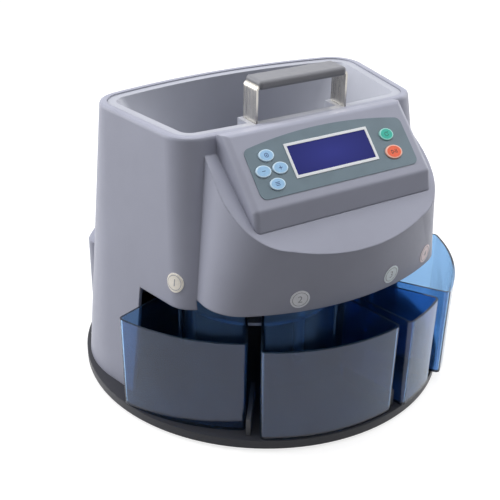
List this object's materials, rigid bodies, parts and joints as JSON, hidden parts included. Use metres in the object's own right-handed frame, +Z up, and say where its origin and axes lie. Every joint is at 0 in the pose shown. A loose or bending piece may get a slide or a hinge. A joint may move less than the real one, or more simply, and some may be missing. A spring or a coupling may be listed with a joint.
{
  "type": "coin sorting machine",
  "caption": "Desktop coin sorter: open hopper over a feed disc, sloped console with screen and keys, carrying handle and a fan of translucent coin drawers.",
  "frame": {"origin": "middle of the footprint, on the surface that the feet stand on", "axes": "+X to the right seen from the front, +Y to the back, +Z up; the front with the drawers faces -Y"},
  "size_m": [0.35, 0.31, 0.2955],
  "materials": {
    "housing_grey": "fine moulded texture",
    "console_grey": "fine moulded texture",
    "hopper_grey": "smooth moulding",
    "base_black": "fine moulded texture",
    "foot_rubber": "matt rubber",
    "screw_steel": "zinc plated",
    "rail_grey": "moulded",
    "overlay_slate": "satin printed film",
    "frame_white": "gloss",
    "display_blue": "gloss window over a blue display",
    "module_black": "moulded",
    "board_green": "solder mask",
    "switch_black": "moulded",
    "key_blue": "satin",
    "key_green": "satin",
    "key_orange": "satin",
    "strap_steel": "brushed along its length",
    "grip_grey": "fine moulded texture",
    "plate_aluminium": "machined",
    "chute_black": "moulded",
    "disc_grey": "moulded",
    "shaft_steel": "ground",
    "bush_brass": "turned",
    "gear_white": "moulded",
    "motor_steel": "plated can",
    "chassis_steel": "plated sheet",
    "post_aluminium": "turned",
    "inlet_black": "moulded",
    "rocker_red": "gloss",
    "transformer_dark": "varnished core",
    "label_paper": "printed paper",
    "drawer_blue": "translucent gloss"
  },
  "bodies": {
    "machine": {"main_housing": "housing_grey", "console_housing": "console_grey", "hopper": "hopper_grey", "handle_guides": "hopper_grey", "base_tray": "base_black", "rubber_feet": "foot_rubber", "base_screws": "screw_steel", "drawer_rails": "rail_grey", "control_overlay": "overlay_slate", "screen_frame": "frame_white", "display_window": "display_blue", "display_module": "module_black", "control_board": "board_green", "key_switches": "switch_black", "sorting_plate": "plate_aluminium", "coin_chutes": "chute_black", "coin_sensor_board": "board_green", "shaft_bushes": "bush_brass", "gear_motor": "motor_steel", "motor_screws": "screw_steel", "chassis_plate": "chassis_steel", "lower_posts": "post_aluminium", "upper_posts": "post_aluminium", "power_inlet": "inlet_black", "switch_body": "inlet_black", "power_board": "board_green", "power_transformer": "transformer_dark", "coin_labels": "label_paper"},
    "handle": {"handle_strap": "strap_steel", "handle_stop_pins": "strap_steel", "handle_grip": "grip_grey"},
    "rotor": {"feed_disc": "disc_grey", "disc_knob": "disc_grey", "drive_shaft": "shaft_steel", "driven_gear": "gear_white", "shaft_clip": "shaft_steel"},
    "pinion": {"motor_pinion": "bush_brass", "motor_shaft": "shaft_steel"},
    "rocker": {"power_rocker": "rocker_red"},
    "coin_drawer_1_body": {"coin_drawer_1": "drawer_blue"},
    "coin_drawer_2_body": {"coin_drawer_2": "drawer_blue"},
    "coin_drawer_3_body": {"coin_drawer_3": "drawer_blue"},
    "coin_drawer_4_body": {"coin_drawer_4": "drawer_blue"},
    "key_menu_body": {"key_menu": "key_blue"},
    "key_minus_body": {"key_minus": "key_blue"},
    "key_plus_body": {"key_plus": "key_blue"},
    "key_batch_body": {"key_batch": "key_blue"},
    "key_clear_body": {"key_clear": "key_green"},
    "key_start_body": {"key_start": "key_orange"}
  },
  "joints": [
    {"name": "handle_slide", "type": "slide", "parent": "machine", "child": "handle", "axis": [0, 0, 1], "range_m": [-0.0265, 0]},
    {"name": "rotor_spin", "type": "hinge", "parent": "machine", "child": "rotor", "pos_m": [0, 0.034, 0.1], "axis": [0, 0, 1], "continuous": true},
    {"name": "pinion_spin", "type": "hinge", "parent": "machine", "child": "pinion", "pos_m": [0, 0.07315, 0.07], "axis": [0, 0, 1], "continuous": true},
    {"name": "rocker_tip", "type": "hinge", "parent": "machine", "child": "rocker", "pos_m": [0.01, 0.151, 0.045], "axis": [1, 0, 0], "range_deg": [0, 16]},
    {"name": "drawer_1_slide", "type": "slide", "parent": "machine", "child": "coin_drawer_1_body", "axis": [-0.7766, -0.63, 0], "range_m": [0, 0.085]},
    {"name": "drawer_2_slide", "type": "slide", "parent": "machine", "child": "coin_drawer_2_body", "axis": [-0.1968, -0.9804, 0], "range_m": [0, 0.085]},
    {"name": "drawer_3_slide", "type": "slide", "parent": "machine", "child": "coin_drawer_3_body", "axis": [0.3827, -0.9239, 0], "range_m": [0, 0.085]},
    {"name": "drawer_4_slide", "type": "slide", "parent": "machine", "child": "coin_drawer_4_body", "axis": [0.8151, -0.5793, 0], "range_m": [0, 0.085]},
    {"name": "key_menu_press", "type": "slide", "parent": "machine", "child": "key_menu_body", "axis": [0, 0.7071, -0.7071], "range_m": [0, 0.0008], "stiffness_N_per_m": 800},
    {"name": "key_minus_press", "type": "slide", "parent": "machine", "child": "key_minus_body", "axis": [0, 0.7071, -0.7071], "range_m": [0, 0.0008], "stiffness_N_per_m": 800},
    {"name": "key_plus_press", "type": "slide", "parent": "machine", "child": "key_plus_body", "axis": [0, 0.7071, -0.7071], "range_m": [0, 0.0008], "stiffness_N_per_m": 800},
    {"name": "key_batch_press", "type": "slide", "parent": "machine", "child": "key_batch_body", "axis": [0, 0.7071, -0.7071], "range_m": [0, 0.0008], "stiffness_N_per_m": 800},
    {"name": "key_clear_press", "type": "slide", "parent": "machine", "child": "key_clear_body", "axis": [0, 0.7071, -0.7071], "range_m": [0, 0.0008], "stiffness_N_per_m": 800},
    {"name": "key_start_press", "type": "slide", "parent": "machine", "child": "key_start_body", "axis": [0, 0.7071, -0.7071], "range_m": [0, 0.0008], "stiffness_N_per_m": 800}
  ],
  "couplings": [
    {"joint": "pinion_spin", "follows": "rotor_spin", "ratio": -3.3333}
  ]
}
